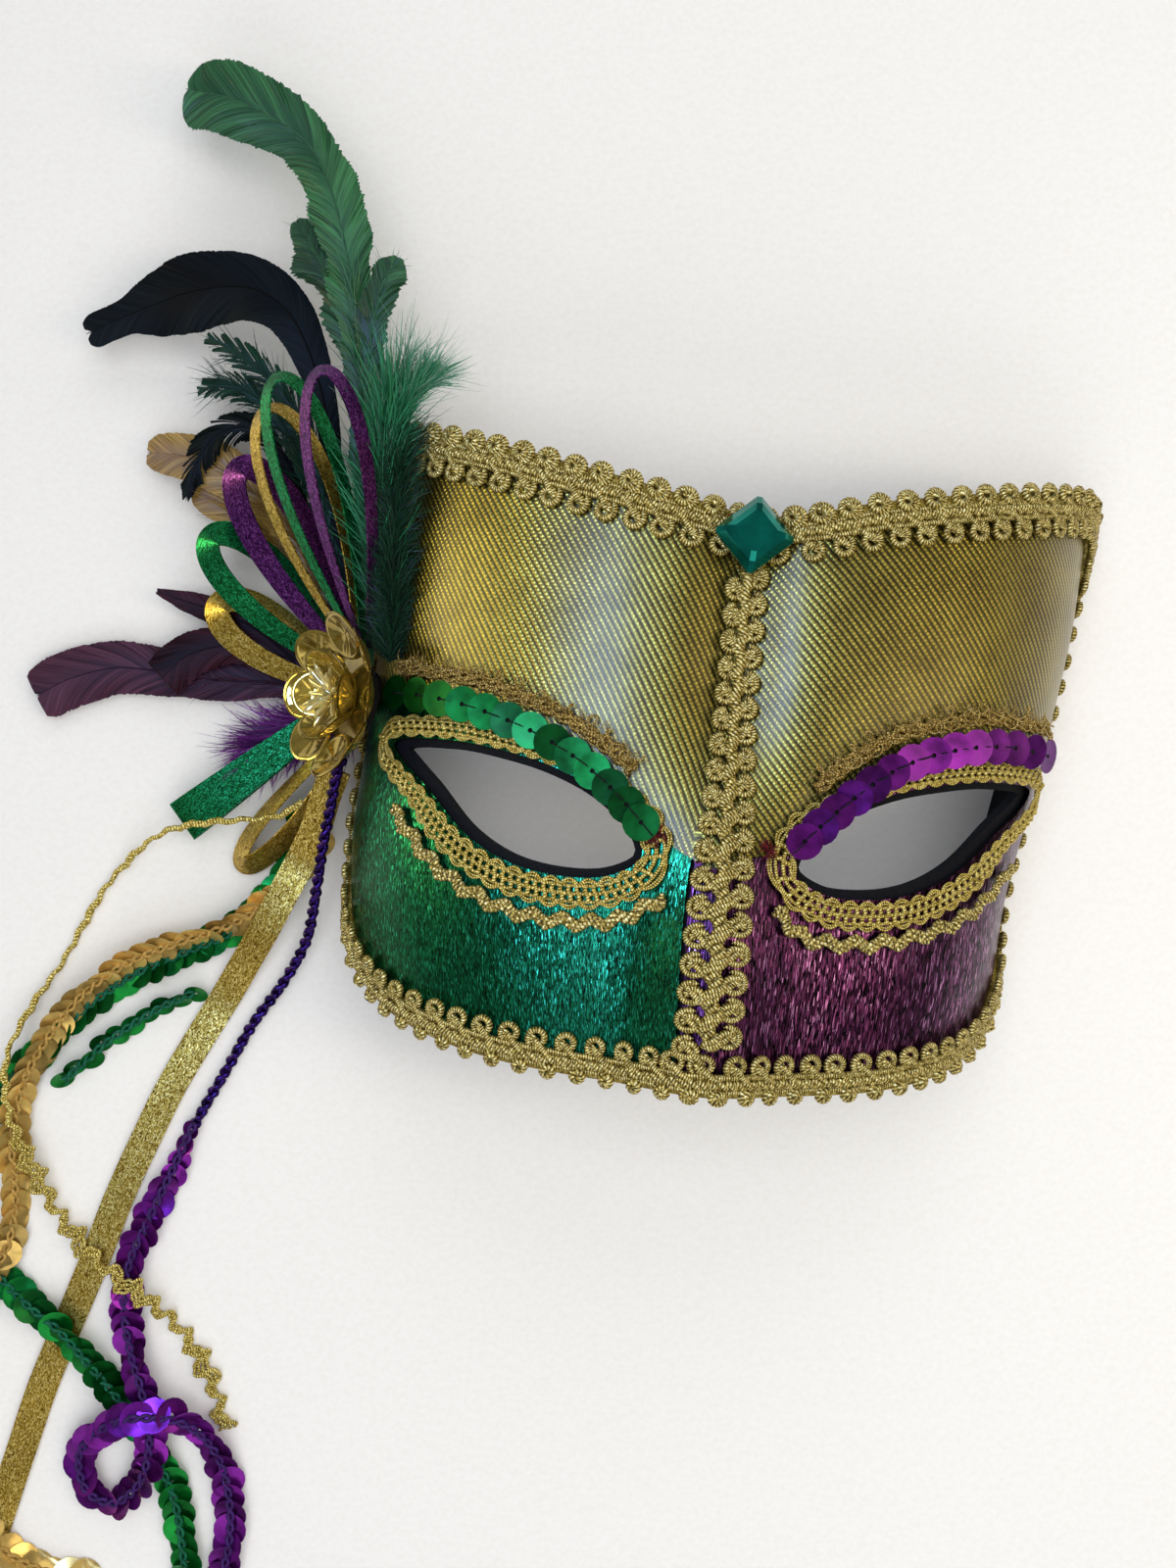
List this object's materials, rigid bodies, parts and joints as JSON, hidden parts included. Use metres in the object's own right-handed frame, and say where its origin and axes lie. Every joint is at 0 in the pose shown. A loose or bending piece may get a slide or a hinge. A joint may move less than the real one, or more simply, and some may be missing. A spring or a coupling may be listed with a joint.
{
  "type": "feathered mask",
  "caption": "Carnival half mask in gold, green and purple cloth with braid, brow sequins, a jewel, and a side spray of feathers, ribbon loops, a rosette and streamers.",
  "frame": {"origin": "on the table, under the middle of the part's box measured without the two free cords", "axes": "+X across the face to the wearer's left, +Y up the brow, +Z out of the face and up from the table"},
  "size_m": [0.2374, 0.3342, 0.0618],
  "materials": {
    "shell_black": "matt stiffened backing",
    "gold_lame": "metallic twill",
    "green_lurex": "metallic knit with sparkle",
    "purple_lurex": "metallic knit with sparkle",
    "gold_braid": "metallic braid",
    "green_sequin": "glossy foil",
    "purple_sequin": "glossy foil",
    "gold_sequin": "clear amber, glossy",
    "amber_bead": "glossy",
    "green_stone": "polished, foil backed",
    "green_feather": "soft feather",
    "dark_green_feather": "glossy feather",
    "black_feather": "glossy feather",
    "tan_feather": "soft feather",
    "purple_feather": "soft feather",
    "maroon_feather": "soft feather",
    "green_ribbon": "metallic ribbon",
    "purple_ribbon": "metallic ribbon",
    "gold_ribbon": "metallic ribbon"
  },
  "bodies": {
    "root": {"mask_shell": "shell_black", "flower_base": "shell_black", "gold_cover": "gold_lame", "green_cover": "green_lurex", "purple_cover": "purple_lurex", "edge_braid": "gold_braid", "centre_braid": "gold_braid", "eye_braid_left": "gold_braid", "eye_braid_right": "gold_braid", "brow_braid_left": "gold_braid", "brow_braid_right": "gold_braid", "eye_ricrac_left": "gold_braid", "eye_ricrac_right": "gold_braid", "ricrac_streamer": "gold_braid", "sequin_row_left": "green_sequin", "green_sequin_string": "green_sequin", "green_sequin_tail": "green_sequin", "sequin_row_right": "purple_sequin", "purple_sequin_string": "purple_sequin", "flower_outer_petals": "gold_sequin", "flower_inner_petals": "gold_sequin", "gold_sequin_string": "gold_sequin", "flower_beads": "amber_bead", "jewel": "green_stone", "green_plume": "green_feather", "marabou": "green_feather", "green_hackles": "dark_green_feather", "black_plume": "black_feather", "black_hackle": "black_feather", "tan_plume": "tan_feather", "purple_plume": "purple_feather", "purple_fluff": "purple_feather", "maroon_plume": "maroon_feather", "green_loop_narrow": "green_ribbon", "green_loop_wide": "green_ribbon", "green_loop_tail": "green_ribbon", "purple_loop_narrow": "purple_ribbon", "purple_loop_wide": "purple_ribbon", "gold_loop_narrow": "gold_ribbon", "gold_loop_wide": "gold_ribbon", "gold_loop_tail": "gold_ribbon", "gold_ribbon_streamer": "gold_ribbon"}
  },
  "joints": []
}
